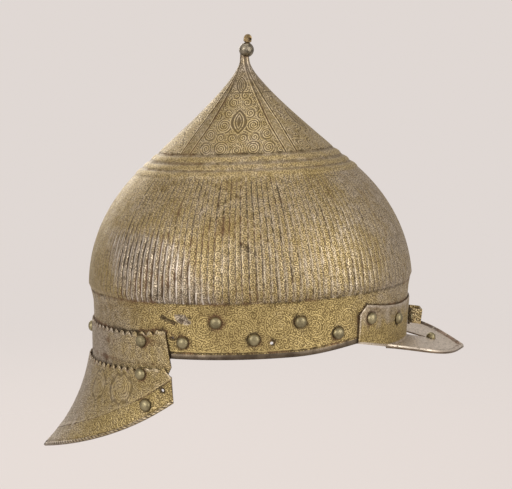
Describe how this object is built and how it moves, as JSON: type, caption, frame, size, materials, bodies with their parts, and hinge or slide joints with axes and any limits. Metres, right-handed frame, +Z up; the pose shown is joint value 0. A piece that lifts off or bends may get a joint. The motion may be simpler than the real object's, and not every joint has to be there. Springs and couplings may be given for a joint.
{
  "type": "burgonet",
  "caption": "Fluted pointed steel helmet with a fixed peak, a bracket for a sliding nasal bar and a neck guard of two lames, the lower one tilting on its side rivets.",
  "frame": {"origin": "on the skull's upright axis, at the height of the rim below the ears", "axes": "+X to the wearer's front, +Y to the wearer's left, +Z up along the skull's axis"},
  "size_m": [0.3147, 0.22, 0.2985],
  "materials": {
    "gilt_steel": "worn gilding over etched steel",
    "grey_steel": "bare grey steel with light wear",
    "dark_steel": "dark polished steel",
    "brass": "tarnished olive brass",
    "leather": "dark worn leather"
  },
  "bodies": {
    "helmet": {"skull": "gilt_steel", "lining_strip": "leather", "finial_bead": "dark_steel", "finial_spindle": "dark_steel", "peak": "grey_steel", "nasal_bracket": "gilt_steel", "upper_neck_lame": "gilt_steel", "band_rivet_right_1": "brass", "band_rivet_right_1_rove": "grey_steel", "band_rivet_right_2": "brass", "band_rivet_right_2_rove": "grey_steel", "band_rivet_right_3": "brass", "band_rivet_right_3_rove": "grey_steel", "band_rivet_right_4": "brass", "band_rivet_right_4_rove": "grey_steel", "band_rivet_right_5": "brass", "band_rivet_right_5_rove": "grey_steel", "peak_rivet_right_1": "brass", "peak_rivet_right_1_rove": "grey_steel", "peak_rivet_right_2": "brass", "peak_rivet_right_2_rove": "grey_steel", "upper_lame_rivet_right": "brass", "bracket_rivet_right": "brass", "band_rivet_left_1": "brass", "band_rivet_left_1_rove": "grey_steel", "band_rivet_left_2": "brass", "band_rivet_left_2_rove": "grey_steel", "band_rivet_left_3": "brass", "band_rivet_left_3_rove": "grey_steel", "band_rivet_left_4": "brass", "band_rivet_left_4_rove": "grey_steel", "band_rivet_left_5": "brass", "band_rivet_left_5_rove": "grey_steel", "peak_rivet_left_1": "brass", "peak_rivet_left_1_rove": "grey_steel", "peak_rivet_left_2": "brass", "peak_rivet_left_2_rove": "grey_steel", "upper_lame_rivet_left": "brass", "bracket_rivet_left": "brass", "upper_lame_rivet_back": "brass", "peak_stud": "brass"},
    "lower_lame": {"lower_neck_lame": "gilt_steel", "neck_pivot_rivet_right": "brass", "neck_pivot_rivet_right_rove": "grey_steel", "tail_border_rivet_right": "brass", "neck_pivot_rivet_left": "brass", "neck_pivot_rivet_left_rove": "grey_steel", "tail_border_rivet_left": "brass"}
  },
  "joints": [
    {"name": "neck_lame_tilt", "type": "hinge", "parent": "helmet", "child": "lower_lame", "pos_m": [-0.0766, 0, -0.0112], "axis": [0, 1, 0], "range_deg": [0, 10]}
  ]
}
